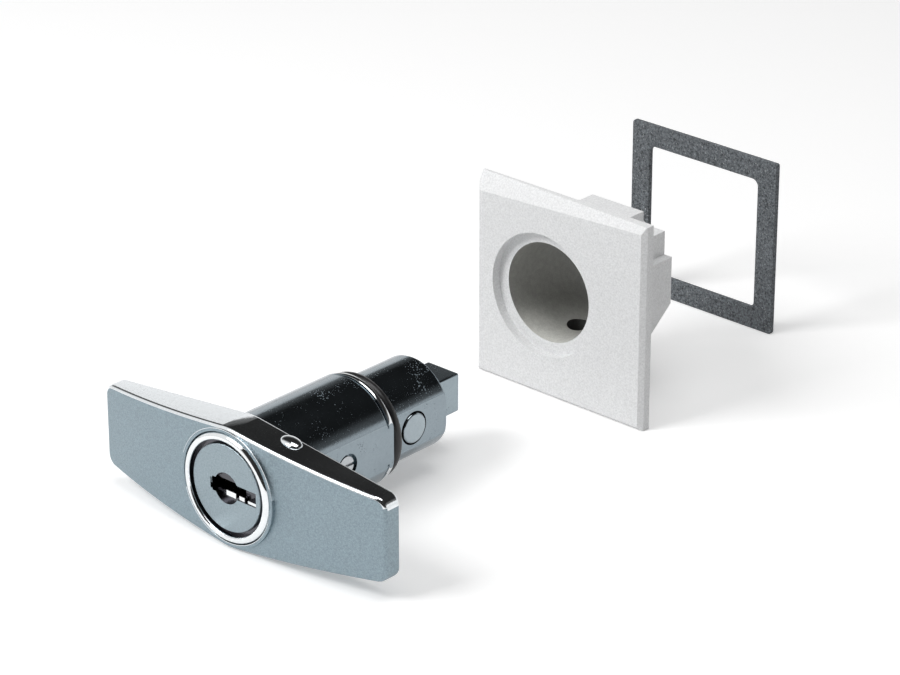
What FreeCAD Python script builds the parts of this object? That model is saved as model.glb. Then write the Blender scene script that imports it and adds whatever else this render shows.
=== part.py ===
"""T-handle cabinet lock, laid out as three groups on one floor.

The turning unit lies level with its barrel along +Y. The square bezel housing that it plugs
into stands behind it, and the flat gasket of the housing stands behind that.
Lengths are millimetres. The origin is the centre of the key face, on the barrel's axis,
+X is to the right along the grip, +Y runs back along the barrel and +Z is up.
"""
import FreeCAD
import Part
import math
import os

os.makedirs("parts", exist_ok=True)

V = FreeCAD.Vector
AXIS = V(0, 1, 0)

# Running and seating clearances
RUN = 0.08
SLIDE = 0.12
SEAT = 0.02

# Barrel sleeve, which sets the sizes round the axis
BARREL_RADIUS = 11.2
BARREL_WALL = 1.92
BARREL_END = 33.6
SEAL_GROOVE = 2.4
NOSE_STEP = 2.0
NOSE_RADIUS = BARREL_RADIUS - NOSE_STEP
NOSE_END = 50.2
BARREL_FLAT = 1.0
RIM_CHAMFER = 0.5
NOSE_CHAMFER = 0.7

# Hollow tube of the handle, inside the barrel
TUBE_RADIUS = BARREL_RADIUS - BARREL_WALL - RUN
TUBE_WALL = 1.2
TUBE_BORE = TUBE_RADIUS - TUBE_WALL
TUBE_END = BARREL_END - 0.7
WEB_THICK = 3.7

# Grip of the T-handle
GRIP_LENGTH = 72.0
GRIP_SWEEP = 4.0
GRIP_BACK = 7.8
BOSS_RADIUS = BARREL_RADIUS + 1.0
TIP_HALF_HEIGHT = 8.2
TIP_CORNER = 1.6
FACE_BEVEL = 1.1
BACK_BEVEL = 0.6
LAND_RADIUS = BARREL_RADIUS + 0.5
LAND_STEP = 0.25

# Lock cylinder shell with its polished rim
RIM_RADIUS = BARREL_RADIUS - 0.25
RIM_FRONT = -0.45
RIM_DEPTH = 2.2
SHELL_RADIUS = TUBE_BORE - 0.1
SHELL_WALL = 1.9
SHELL_END = TUBE_END - 9.3
SHELL_GROOVE = 1.0

# Lock plug and its keyhole
PLUG_HEAD_RADIUS = RIM_RADIUS - 2.3
PLUG_HEAD = 1.4
PLUG_RADIUS = SHELL_RADIUS - SHELL_WALL
PLUG_END = SHELL_END + 0.8
KEY_ROUND = 3.1
KEY_ROUND_DEPTH = 0.9
KEY_FACE_LEFT = 3.6
KEY_FACE_RIGHT = PLUG_HEAD_RADIUS - 1.05
KEY_FACE_HEIGHT = 2.9
KEY_FACE_DEPTH = 1.1
KEY_SLOT_LENGTH = 2 * (PLUG_RADIUS - 1.9)
KEY_SLOT_HEIGHT = 2.2
KEY_SLOT_END = 18.5
TAIL_SQUARE = 0.74 * PLUG_RADIUS
TAIL_SINK = 0.35

# Wafers
WAFER_COUNT = 5
WAFER_FIRST = 4.2
WAFER_PITCH = 2.5
WAFER_THICK = 1.0
WAFER_LENGTH = 2 * PLUG_RADIUS - 1.4
WAFER_HEIGHT = 4.8
WAFER_WINDOW = WAFER_LENGTH - 4.0
WAFER_WINDOW_HEIGHT = 2.6

# Clip and cam on the tail of the plug
CLIP_RADIUS = PLUG_RADIUS + 1.2
CLIP_THICK = 0.7
CLIP_MOUTH = 3.6
CAM_RADIUS = PLUG_RADIUS - 0.4
CAM_THICK = 1.5
CAM_PIN_RADIUS = 0.8
CAM_PIN_THROW = 1.6
CAM_PIN_LENGTH = 1.9
CAM_PLAY = 0.45
CAM_FLOOR = 0.3

# Locking bolt
BOLT_WIDTH = 7.4
BOLT_THICK = 2.0
BOLT_REACH = TUBE_RADIUS - 0.2
BOLT_TAIL = 5.2
BOLT_TRAVEL = 1.6

# Seal ring in the barrel groove
SEAL_WIRE = 1.1
SEAL_OUTER = BARREL_RADIUS - 0.45
SEAL_SIDES = 8

# Stop screw in the flat of the barrel
STOP_Y = 21.2
STOP_HEAD_RADIUS = 1.9
STOP_RECESS_RADIUS = 2.5
STOP_HEAD = 1.0
STOP_TIP_RADIUS = 1.2
STOP_DEPTH = 0.8
STOP_SLOT = 0.5
TURN_ANGLE = 90.0

# Snap button in the flat of the nose
BUTTON_Y = 41.2
BUTTON_RADIUS = 3.05
BUTTON_GAP = 0.1
BUTTON_PROUD = 0.35
BUTTON_LENGTH = 2.2
BUTTON_CUP_RADIUS = 2.2
BUTTON_CUP_DEPTH = 1.5
BUTTON_SEAT = NOSE_RADIUS - 4.1
BUTTON_RIM = 0.3
SPRING_HALF = 1.4
SPRING_STRIP = 0.2
SPRING_WIDTH = 1.8
SPRING_FOLDS = 4

# Drive spindle and its pins
SPINDLE_RADIUS = NOSE_RADIUS - 4.7
SPINDLE_NECK = SPINDLE_RADIUS - 0.6
SQUARE_SIZE = 8.0
SQUARE_CHAMFER = 0.5
SQUARE_END = 58.5
SHOULDER_GAP = 0.15
DRIVE_PIN_RADIUS = 1.1
LUG_PIN_RADIUS = 1.8
LUG_PIN_Y = 53.1
LUG_PIN_SINK = 0.12

# Grub screw that holds the cylinder shell in the grip
GRUB_Y = 5.0
GRUB_RADIUS = 1.5
GRUB_LENGTH = 2.8
GRUB_SOCKET = 0.75
GRUB_SOCKET_DEPTH = 1.4

# Square bezel housing
FLANGE_SIZE = 43.0
FLANGE_THICK = 2.6
FLANGE_BEVEL = 0.9
FLANGE_TOP_BEVEL = 2.2
FLANGE_BEVEL_DEPTH = 0.9
BORE_RADIUS = NOSE_RADIUS + 1.2
RECESS_RADIUS = BARREL_RADIUS + 1.7
RECESS_DEPTH = 2.0
BORE_SHIFT = -4.2
BODY_DEPTH = 24.0
BODY_WALL = 1.3
SHANK_SIZE = 28.0
SHANK_SHIFT = -2.2
SHANK_DEPTH = 11.0
SHANK_CORNER = 1.2
BLOCK_DEPTH = 20.5
SIDE_STEP = 1.9
SIDE_STEP_HEIGHT = 6.4
TOP_STEP = 5.5
TOP_STEP_HEIGHT = 11.4
FOOT_CUT = 6.0
FOOT_CUT_HEIGHT = 10.4
NOTCH_RADIUS = 2.2
NOTCH_DEPTH = 6.0

# Gasket
GASKET_BORDER = 4.6
GASKET_THICK = 1.2
GASKET_FIT = 0.2
GASKET_ROUND = 1.5

# Where the housing and the gasket stand
FLOOR = -BOSS_RADIUS
BEZEL_X = 3.8
BEZEL_Y = 87.4
GASKET_X = -3.0
GASKET_Y = 140.6


def rod(radius, y0, y1, x=0.0, z=0.0):
    """Round bar along Y."""
    return Part.makeCylinder(radius, y1 - y0, V(x, y0, z), AXIS)


def bar_x(radius, x0, x1, y, z=0.0):
    """Round bar along X."""
    return Part.makeCylinder(radius, x1 - x0, V(x0, y, z), V(1, 0, 0))


def bar_z(radius, z0, z1, y, x=0.0):
    """Round bar along Z."""
    return Part.makeCylinder(radius, z1 - z0, V(x, y, z0), V(0, 0, 1))


def block(x0, x1, y0, y1, z0, z1):
    """Box between two corners."""
    return Part.makeBox(x1 - x0, y1 - y0, z1 - z0, V(x0, y0, z0))


def turned(stations):
    """Solid of revolution about the barrel's axis, from (radius, y) stations."""
    start = V(0, stations[0][1], 0)
    end = V(0, stations[-1][1], 0)
    points = [start] + [V(r, y, 0) for r, y in stations] + [end, start]
    face = Part.Face(Part.makePolygon(points))
    return face.revolve(V(0, 0, 0), AXIS, 360)


def rounded_frame(size_x, size_z, radius, y0, y1, x=0.0, z=0.0):
    """Block along Y with rounded upright corners, centred on (x, z)."""
    shape = block(x - size_x / 2, x + size_x / 2, y0, y1, z - size_z / 2, z + size_z / 2)
    edges = [e for e in shape.Edges if abs(e.Vertexes[0].Y - e.Vertexes[1].Y) > 1e-6]
    return shape.makeFillet(radius, edges)


def save(name, shape):
    """Write one clean solid as its own file."""
    solid = shape.removeSplitter()
    if len(solid.Solids) == 1:
        solid = solid.Solids[0]
    if not solid.isValid():
        raise ValueError(name + " is not a valid solid")
    solid.exportStep("parts/" + name + ".step")
    print(name, len(solid.Solids), round(solid.Volume, 2))
    return solid


def grip_outline():
    """Front outline of the grip: a round boss with straight sides that taper to the tips."""
    half = GRIP_LENGTH / 2
    reach = math.hypot(half, TIP_HALF_HEIGHT)
    bearing = math.atan2(TIP_HALF_HEIGHT, half) + math.acos(BOSS_RADIUS / reach)
    tx = BOSS_RADIUS * math.cos(bearing)
    tz = BOSS_RADIUS * math.sin(bearing)
    top = V(0, 0, BOSS_RADIUS)
    bottom = V(0, 0, -BOSS_RADIUS)
    edges = [
        Part.Arc(V(-tx, 0, tz), top, V(tx, 0, tz)).toShape(),
        Part.LineSegment(V(tx, 0, tz), V(half, 0, TIP_HALF_HEIGHT)).toShape(),
        Part.LineSegment(V(half, 0, TIP_HALF_HEIGHT), V(half, 0, -TIP_HALF_HEIGHT)).toShape(),
        Part.LineSegment(V(half, 0, -TIP_HALF_HEIGHT), V(tx, 0, -tz)).toShape(),
        Part.Arc(V(tx, 0, -tz), bottom, V(-tx, 0, -tz)).toShape(),
        Part.LineSegment(V(-tx, 0, -tz), V(-half, 0, -TIP_HALF_HEIGHT)).toShape(),
        Part.LineSegment(V(-half, 0, -TIP_HALF_HEIGHT), V(-half, 0, TIP_HALF_HEIGHT)).toShape(),
        Part.LineSegment(V(-half, 0, TIP_HALF_HEIGHT), V(-tx, 0, tz)).toShape(),
    ]
    return Part.Face(Part.Wire(edges))


def grip_plan():
    """Plan of the grip: bowed front, flat back."""
    half = GRIP_LENGTH / 2
    edges = [
        Part.Arc(V(-half, GRIP_SWEEP, 0), V(0, LAND_STEP, 0), V(half, GRIP_SWEEP, 0)).toShape(),
        Part.LineSegment(V(half, GRIP_SWEEP, 0), V(half, GRIP_BACK, 0)).toShape(),
        Part.LineSegment(V(half, GRIP_BACK, 0), V(-half, GRIP_BACK, 0)).toShape(),
        Part.LineSegment(V(-half, GRIP_BACK, 0), V(-half, GRIP_SWEEP, 0)).toShape(),
    ]
    return Part.Face(Part.Wire(edges))


def on_front(edge):
    """Whether an edge lies on the bowed front of the grip."""
    half = GRIP_LENGTH / 2
    sag = GRIP_SWEEP - LAND_STEP
    bow = (half * half + sag * sag) / (2 * sag)
    first, last = edge.ParameterRange
    for k in range(5):
        point = edge.valueAt(first + (last - first) * k / 4)
        front = LAND_STEP + bow - math.sqrt(bow * bow - point.x * point.x)
        if abs(point.y - front) > 0.01:
            return False
    return True


def on_plane(edge, y):
    """Whether an edge lies in the plane at a given y."""
    first, last = edge.ParameterRange
    return all(abs(edge.valueAt(first + (last - first) * k / 4).y - y) < 0.01 for k in range(5))


def grip_body():
    """Bowed grip with bevelled front and back edges."""
    deep = GRIP_BACK + 2
    tall = 2 * BOSS_RADIUS + 4
    front = grip_outline()
    front.translate(V(0, -1, 0))
    front = front.extrude(V(0, deep, 0))
    plan = grip_plan()
    plan.translate(V(0, 0, -tall / 2))
    plan = plan.extrude(V(0, 0, tall))
    body = front.common(plan).removeSplitter()
    half = GRIP_LENGTH / 2
    corners = []
    for edge in body.Edges:
        a, b = edge.Vertexes[0].Point, edge.Vertexes[-1].Point
        upright = abs(a.x) > half - 0.01 and abs(b.x) > half - 0.01 and abs(a.y - b.y) > 1
        if upright:
            corners.append(edge)
    body = body.makeFillet(TIP_CORNER, corners)
    body = body.makeChamfer(FACE_BEVEL, [e for e in body.Edges if on_front(e)])
    return body.makeChamfer(BACK_BEVEL, [e for e in body.Edges if on_plane(e, GRIP_BACK)])


def web_start():
    """Front of the web that closes the tube, behind the locking bolt."""
    return TUBE_END - WEB_THICK


def bolt_front():
    """Front face of the locking bolt."""
    return web_start() - SLIDE - BOLT_THICK


def t_handle():
    """Grip and hollow tube, cast as one piece."""
    body = grip_body()
    land = rod(LAND_RADIUS, 0, GRIP_BACK - 1)
    body = body.fuse(land)
    body = body.fuse(rod(TUBE_RADIUS, GRIP_BACK - 1, TUBE_END))
    body = body.cut(rod(RIM_RADIUS + SEAT, -1, RIM_FRONT + RIM_DEPTH + SEAT))
    body = body.cut(rod(TUBE_BORE, -1, web_start()))
    body = body.cut(rod(SPINDLE_NECK + SEAT, web_start() - 1, TUBE_END + 1))
    pin_y = web_start() + WEB_THICK / 2
    body = body.cut(bar_x(DRIVE_PIN_RADIUS + SEAT, -TUBE_RADIUS - 1, TUBE_RADIUS + 1, pin_y))
    half = BOLT_WIDTH / 2 + SLIDE
    body = body.cut(block(-BOSS_RADIUS, 0, bolt_front() - SLIDE, web_start() + 0.01, -half, half))
    body = body.cut(stop_groove())
    body = body.cut(bar_z(GRUB_RADIUS + SEAT, -BOSS_RADIUS - 1, 1 - SHELL_RADIUS, GRUB_Y))
    return body


def stop_groove():
    """Part-turn groove in the tube that the stop screw runs in, from +X down to -Z."""
    reach = STOP_TIP_RADIUS + SLIDE
    margin = math.degrees(math.asin(reach / TUBE_RADIUS)) + 1.0
    ring = rod(TUBE_RADIUS + 1, STOP_Y - reach, STOP_Y + reach)
    ring = ring.cut(rod(TUBE_RADIUS - STOP_DEPTH - SLIDE, STOP_Y - reach - 1, STOP_Y + reach + 1))
    far = 3 * TUBE_RADIUS
    points = [V(0, 0, 0)]
    steps = 6
    for k in range(steps + 1):
        angle = math.radians(margin - (TURN_ANGLE + 2 * margin) * k / steps)
        points.append(V(far * math.cos(angle), 0, far * math.sin(angle)))
    points.append(V(0, 0, 0))
    wedge = Part.Face(Part.makePolygon(points))
    wedge.translate(V(0, STOP_Y - 2 * reach, 0))
    return ring.common(wedge.extrude(V(0, 4 * reach, 0)))


def cylinder_shell():
    """Fixed shell of the lock cylinder, with a polished rim round the plug's face."""
    back = RIM_FRONT + RIM_DEPTH
    shape = turned([
        (RIM_RADIUS - 0.8, RIM_FRONT),
        (RIM_RADIUS, RIM_FRONT + 0.45),
        (RIM_RADIUS, back),
        (SHELL_RADIUS, back),
        (SHELL_RADIUS, SHELL_END),
    ])
    head = PLUG_HEAD_RADIUS + RUN
    mouth = turned([
        (head + 0.75, RIM_FRONT - 0.01),
        (head, 0.3),
        (head, PLUG_HEAD + RUN),
    ])
    shape = shape.cut(mouth)
    shape = shape.cut(rod(PLUG_RADIUS + RUN, 0, SHELL_END + 1))
    span = WAFER_PITCH * (WAFER_COUNT - 1) + WAFER_THICK
    y0 = WAFER_FIRST - 0.6
    y1 = WAFER_FIRST + span + 0.6
    deep = PLUG_RADIUS + SHELL_GROOVE
    half = WAFER_HEIGHT / 2 + SLIDE
    shape = shape.cut(block(0, deep, y0, y1, -half, half))
    shape = shape.cut(block(-half, half, y0, y1, 0, deep))
    shape = shape.cut(block(-half, half, y0, y1, -deep, 0))
    return shape.cut(bar_z(GRUB_RADIUS + SEAT, -BOSS_RADIUS, -SHELL_RADIUS + 0.5, GRUB_Y))


def wafer_y(index):
    """Front face of a wafer."""
    return WAFER_FIRST + index * WAFER_PITCH


def clip_y():
    """Front face of the clip."""
    return SHELL_END + RUN


def clip_neck():
    """Radius of the plug under the clip."""
    return PLUG_RADIUS - 1.0


def cylinder_plug():
    """Plug with the keyhole in its face, wafer slots, clip groove and a square tail."""
    shape = turned([
        (PLUG_HEAD_RADIUS - 0.25, 0),
        (PLUG_HEAD_RADIUS, 0.25),
        (PLUG_HEAD_RADIUS, PLUG_HEAD),
        (PLUG_RADIUS, PLUG_HEAD),
        (PLUG_RADIUS, PLUG_END),
    ])
    tail = TAIL_SQUARE / 2
    tail_end = cam_y() + CAM_THICK - TAIL_SINK
    shape = shape.fuse(block(-tail, tail, PLUG_END - 1, tail_end, -tail, tail))
    shape = shape.cut(rod(KEY_ROUND, -1, KEY_ROUND_DEPTH))
    height = KEY_FACE_HEIGHT / 2
    shape = shape.cut(block(-KEY_FACE_LEFT, KEY_FACE_RIGHT, -1, KEY_FACE_DEPTH, -height, height))
    length, height = KEY_SLOT_LENGTH / 2, KEY_SLOT_HEIGHT / 2
    shape = shape.cut(block(-length, length, 0, KEY_SLOT_END, -height, height))
    half = WAFER_HEIGHT / 2 + SLIDE
    for k in range(WAFER_COUNT):
        y = wafer_y(k)
        wide = PLUG_RADIUS + 1
        shape = shape.cut(block(-wide, wide, y - SLIDE, y + WAFER_THICK + SLIDE, -half, half))
    groove = rod(PLUG_RADIUS + 1, clip_y() - RUN, clip_y() + CLIP_THICK + RUN)
    groove = groove.cut(rod(clip_neck(), SHELL_END - 1, PLUG_END + 2))
    return shape.cut(groove)


def wafer(index):
    """Flat wafer with a window for the key, rounded to the plug at both ends."""
    y = wafer_y(index)
    length, height = WAFER_LENGTH / 2, WAFER_HEIGHT / 2
    shape = block(-length, length, y, y + WAFER_THICK, -height, height)
    shape = shape.common(rod(PLUG_RADIUS - 0.1, y - 1, y + 2))
    window, tall = WAFER_WINDOW / 2, WAFER_WINDOW_HEIGHT / 2
    step = 0.25 * (index % 3 - 1)
    return shape.cut(block(-window + step, window + step, y - 1, y + 2, -tall, tall))


def plug_clip():
    """Open clip behind the shell that keeps the plug in."""
    y = clip_y()
    shape = rod(CLIP_RADIUS, y, y + CLIP_THICK)
    shape = shape.cut(rod(clip_neck() + SEAT, y - 1, y + 2))
    return shape.cut(block(0, 2 * CLIP_RADIUS, y - 1, y + 2, -CLIP_MOUTH, CLIP_MOUTH))


def cam_y():
    """Front face of the bolt cam."""
    return PLUG_END + 0.1


def bolt_cam():
    """Disc on the plug's tail with an offset pin that pushes the locking bolt out."""
    y = cam_y()
    shape = rod(CAM_RADIUS, y, y + CAM_THICK)
    tail = TAIL_SQUARE / 2 + SEAT
    shape = shape.cut(block(-tail, tail, y - 1, y + CAM_THICK - CAM_FLOOR, -tail, tail))
    pin = rod(CAM_PIN_RADIUS, y + CAM_THICK - 0.1, y + CAM_THICK + CAM_PIN_LENGTH, 0, -CAM_PIN_THROW)
    return shape.fuse(pin)


def lock_bolt():
    """Bolt that moves sideways out of the tube into a pocket of the barrel."""
    y = bolt_front()
    half = BOLT_WIDTH / 2
    shape = block(-BOLT_REACH - 1, BOLT_TAIL, y, y + BOLT_THICK, -half, half)
    shape = shape.common(rod(BOLT_REACH, y - 1, y + BOLT_THICK + 1))
    wide = CAM_PIN_RADIUS + CAM_PLAY
    low = -CAM_PIN_THROW - CAM_PIN_RADIUS - SLIDE
    return shape.cut(block(-wide, wide, y - 1, y + BOLT_THICK + 1, low, wide))


def barrel_sleeve():
    """Fixed outer barrel: plain part, seal groove, narrower nose, flats and pockets."""
    start = GRIP_BACK + RUN
    groove_end = BARREL_END + SEAL_GROOVE
    groove = SEAL_OUTER - 2 * SEAL_WIRE
    shape = turned([
        (BARREL_RADIUS, start),
        (BARREL_RADIUS, BARREL_END - RIM_CHAMFER),
        (BARREL_RADIUS - RIM_CHAMFER, BARREL_END),
        (groove, BARREL_END),
        (groove, groove_end),
        (NOSE_RADIUS, groove_end),
        (NOSE_RADIUS, NOSE_END - NOSE_CHAMFER),
        (NOSE_RADIUS - NOSE_CHAMFER, NOSE_END),
    ])
    shape = shape.cut(rod(TUBE_RADIUS + RUN, start - 1, TUBE_END + SHOULDER_GAP))
    shape = shape.cut(rod(SPINDLE_RADIUS + RUN, TUBE_END, NOSE_END + 1))
    tall = 2 * BARREL_RADIUS
    shape = shape.cut(block(flat_x(), tall, start - 1, BARREL_END + 0.01, -tall, tall))
    shape = shape.cut(block(nose_flat_x(), tall, BARREL_END, NOSE_END + 1, -tall, tall))
    y0 = bolt_front() - SLIDE
    y1 = web_start() + SLIDE
    half = BOLT_WIDTH / 2 + SLIDE
    deep = BOLT_REACH + BOLT_TRAVEL + SLIDE
    shape = shape.cut(block(-half, half, y0, y1, -deep, 0))
    shape = shape.cut(block(-deep, 0, y0, y1, -half, half))
    shape = shape.cut(bar_x(STOP_RECESS_RADIUS, flat_x() - STOP_HEAD, tall, STOP_Y))
    shape = shape.cut(bar_x(STOP_TIP_RADIUS + SEAT, 0, tall, STOP_Y))
    return shape.cut(bar_x(BUTTON_RADIUS + BUTTON_GAP, BUTTON_SEAT, tall, BUTTON_Y))


def flat_x():
    """Where the flat of the plain part lies."""
    return BARREL_RADIUS - BARREL_FLAT


def nose_flat_x():
    """Where the flat of the nose lies."""
    return NOSE_RADIUS - BARREL_FLAT


def barrel_seal():
    """Rubber ring in the barrel's groove."""
    middle = BARREL_END + SEAL_GROOVE / 2
    ring = SEAL_OUTER - SEAL_WIRE
    points = []
    for k in range(SEAL_SIDES + 1):
        angle = math.radians(360 * (k % SEAL_SIDES) / SEAL_SIDES)
        points.append(V(ring + SEAL_WIRE * math.cos(angle), middle + SEAL_WIRE * math.sin(angle), 0))
    return Part.Face(Part.makePolygon(points)).revolve(V(0, 0, 0), AXIS, 360)


def stop_screw():
    """Slotted screw whose tip runs in the groove of the tube."""
    seat = flat_x() - STOP_HEAD
    tip = TUBE_RADIUS - STOP_DEPTH
    shape = bar_x(STOP_HEAD_RADIUS, seat, flat_x() - 0.25, STOP_Y)
    shape = shape.fuse(bar_x(STOP_TIP_RADIUS, tip, seat + 0.1, STOP_Y))
    half = STOP_SLOT / 2
    top = flat_x() + 1
    reach = STOP_HEAD_RADIUS + 1
    return shape.cut(block(flat_x() - 0.7, top, STOP_Y - reach, STOP_Y + reach, -half, half))


def snap_button():
    """Round spring-loaded button, hollow at the back for its spring."""
    outer = nose_flat_x() + BUTTON_PROUD
    inner = outer - BUTTON_LENGTH
    shape = bar_x(BUTTON_RADIUS, inner, outer, BUTTON_Y)
    rim = [e for e in shape.Edges if abs(e.CenterOfMass.x - outer) < 0.01]
    shape = shape.makeChamfer(BUTTON_RIM, rim)
    return shape.cut(bar_x(BUTTON_CUP_RADIUS, inner - 1, inner + BUTTON_CUP_DEPTH, BUTTON_Y))


def spring_leg(x0, y0, x1, y1):
    """One straight leg of the folded strip."""
    strip = SPRING_STRIP
    ends = [(x0, y0), (x0 + strip, y0), (x1 + strip, y1), (x1, y1), (x0, y0)]
    points = [V(x, BUTTON_Y + y, -SPRING_WIDTH / 2) for x, y in ends]
    return Part.Face(Part.makePolygon(points)).extrude(V(0, 0, SPRING_WIDTH))


def button_spring():
    """Folded strip spring between the barrel and the button."""
    outer = nose_flat_x() + BUTTON_PROUD
    end = outer - BUTTON_LENGTH + BUTTON_CUP_DEPTH - SPRING_STRIP
    rise = (end - BUTTON_SEAT) / SPRING_FOLDS
    half = SPRING_HALF
    shape = spring_leg(BUTTON_SEAT, -half, BUTTON_SEAT, half)
    for k in range(SPRING_FOLDS):
        x = BUTTON_SEAT + k * rise
        shape = shape.fuse(spring_leg(x, half, x + rise, -half))
        half = -half
    return shape.fuse(spring_leg(end, half, end, -half))


def drive_spindle():
    """Round spindle with a square end that turns the latch behind the panel."""
    shoulder = NOSE_END + SHOULDER_GAP
    step = TUBE_END + SHOULDER_GAP + RUN
    shape = rod(SPINDLE_NECK, web_start() + 0.1, step + 0.1)
    shape = shape.fuse(rod(SPINDLE_RADIUS, step, shoulder + 0.1))
    half = SQUARE_SIZE / 2
    square = block(-half, half, shoulder, SQUARE_END, -half, half)
    square = square.makeChamfer(SQUARE_CHAMFER, square.Edges)
    shape = shape.fuse(square)
    pin_y = web_start() + WEB_THICK / 2
    shape = shape.cut(bar_x(DRIVE_PIN_RADIUS + SEAT, -TUBE_RADIUS, TUBE_RADIUS, pin_y))
    return shape.cut(bar_z(LUG_PIN_RADIUS + SEAT, -SQUARE_SIZE, SQUARE_SIZE, LUG_PIN_Y))


def drive_pin():
    """Cross pin that joins the spindle to the tube of the handle."""
    pin_y = web_start() + WEB_THICK / 2
    return bar_x(DRIVE_PIN_RADIUS, -TUBE_RADIUS + 0.2, TUBE_RADIUS - 0.2, pin_y)


def lug_pin():
    """Pin set just below the surface of the square end."""
    half = SQUARE_SIZE / 2 - LUG_PIN_SINK
    return bar_z(LUG_PIN_RADIUS, -half, half, LUG_PIN_Y)


def cylinder_screw():
    """Grub screw under the grip that holds the cylinder shell."""
    top = -SHELL_RADIUS + 0.5
    shape = bar_z(GRUB_RADIUS, top - GRUB_LENGTH, top, GRUB_Y)
    points = []
    for k in range(7):
        angle = math.radians(60 * k)
        points.append(V(GRUB_SOCKET * math.cos(angle), GRUB_Y + GRUB_SOCKET * math.sin(angle),
                        top - GRUB_LENGTH))
    socket = Part.Face(Part.makePolygon(points)).extrude(V(0, 0, GRUB_SOCKET_DEPTH))
    return shape.cut(socket)


def rectangle(x0, x1, z0, z1, y):
    """Upright rectangular wire at a given y."""
    return Part.makePolygon([V(x0, y, z0), V(x1, y, z0), V(x1, y, z1), V(x0, y, z1), V(x0, y, z0)])


def flange_plate():
    """Square plate with narrow bevels at the sides and a wide one along the top."""
    half = FLANGE_SIZE / 2
    inner = half - FLANGE_BEVEL
    outline = rectangle(-half, half, -half, half, FLANGE_BEVEL_DEPTH)
    front = rectangle(-inner, inner, -inner, half - FLANGE_TOP_BEVEL, 0)
    bevels = Part.makeLoft([front, outline], True, True)
    return bevels.fuse(block(-half, half, FLANGE_BEVEL_DEPTH, FLANGE_THICK, -half, half))


def bezel_z():
    """Height of the centre of the flange, which stands on the floor."""
    return FLOOR + FLANGE_SIZE / 2


def stepped_block(root):
    """Block behind the shank, stepped in twice at its upper corners and cut off at its lower ones."""
    half = SHANK_SIZE / 2
    step = half - SIDE_STEP
    side = [
        (step - TOP_STEP, half),
        (step - TOP_STEP, TOP_STEP_HEIGHT),
        (step, TOP_STEP_HEIGHT),
        (step, SIDE_STEP_HEIGHT),
        (half, SIDE_STEP_HEIGHT),
        (half, FOOT_CUT_HEIGHT - half),
        (half - FOOT_CUT, -half),
    ]
    other = [(-x, z) for x, z in reversed(side)]
    points = [V(SHANK_SHIFT + x, root, z) for x, z in side + other + side[:1]]
    return Part.Face(Part.makePolygon(points)).extrude(V(0, BLOCK_DEPTH - root, 0))


def bezel_housing():
    """Square bezel with a round recess and bore, and a stepped body behind it."""
    root = FLANGE_THICK - 0.5
    back = BODY_DEPTH
    shank = rounded_frame(SHANK_SIZE, SHANK_SIZE, SHANK_CORNER, root, SHANK_DEPTH, SHANK_SHIFT)
    shape = rod(BORE_RADIUS + BODY_WALL, root, back, BORE_SHIFT)
    shape = shape.fuse(stepped_block(root)).fuse(shank).fuse(flange_plate())
    shape = shape.cut(rod(RECESS_RADIUS, -1, RECESS_DEPTH, BORE_SHIFT))
    shape = shape.cut(rod(BORE_RADIUS, -1, back + 1, BORE_SHIFT))
    notch_x = BORE_SHIFT + BORE_RADIUS - 0.5
    shape = shape.cut(rod(NOTCH_RADIUS, back - NOTCH_DEPTH, back + 1, notch_x, -4))
    shape.translate(V(BEZEL_X, BEZEL_Y, bezel_z()))
    return shape


def gasket():
    """Flat foam frame that seals the housing against the door."""
    window = SHANK_SIZE + 2 * GASKET_FIT
    outside = window + 2 * GASKET_BORDER
    z = FLOOR + outside / 2
    shape = rounded_frame(outside, outside, 0.5, 0, GASKET_THICK)
    hole = rounded_frame(window, window, GASKET_ROUND, -1, GASKET_THICK + 1)
    shape = shape.cut(hole)
    shape.translate(V(GASKET_X, GASKET_Y, z))
    return shape


def main():
    """Build every piece and write it to its own file."""
    save("t_handle", t_handle())
    save("cylinder_shell", cylinder_shell())
    save("cylinder_plug", cylinder_plug())
    for k in range(WAFER_COUNT):
        save("wafer_" + str(k + 1), wafer(k))
    save("plug_clip", plug_clip())
    save("bolt_cam", bolt_cam())
    save("lock_bolt", lock_bolt())
    save("barrel_sleeve", barrel_sleeve())
    save("barrel_seal", barrel_seal())
    save("stop_screw", stop_screw())
    save("snap_button", snap_button())
    save("button_spring", button_spring())
    save("drive_spindle", drive_spindle())
    save("drive_pin", drive_pin())
    save("lug_pin", lug_pin())
    save("cylinder_screw", cylinder_screw())
    save("bezel_housing", bezel_housing())
    save("gasket", gasket())


main()
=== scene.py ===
"""T-handle cabinet lock: the dressed model, its finishes and the stage.

The sizes of the lock below are millimetres in its own frame: the origin is the centre of the key
face, +Y runs back along the barrel and +Z is up. The stage is in metres.
"""

import math

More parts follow.
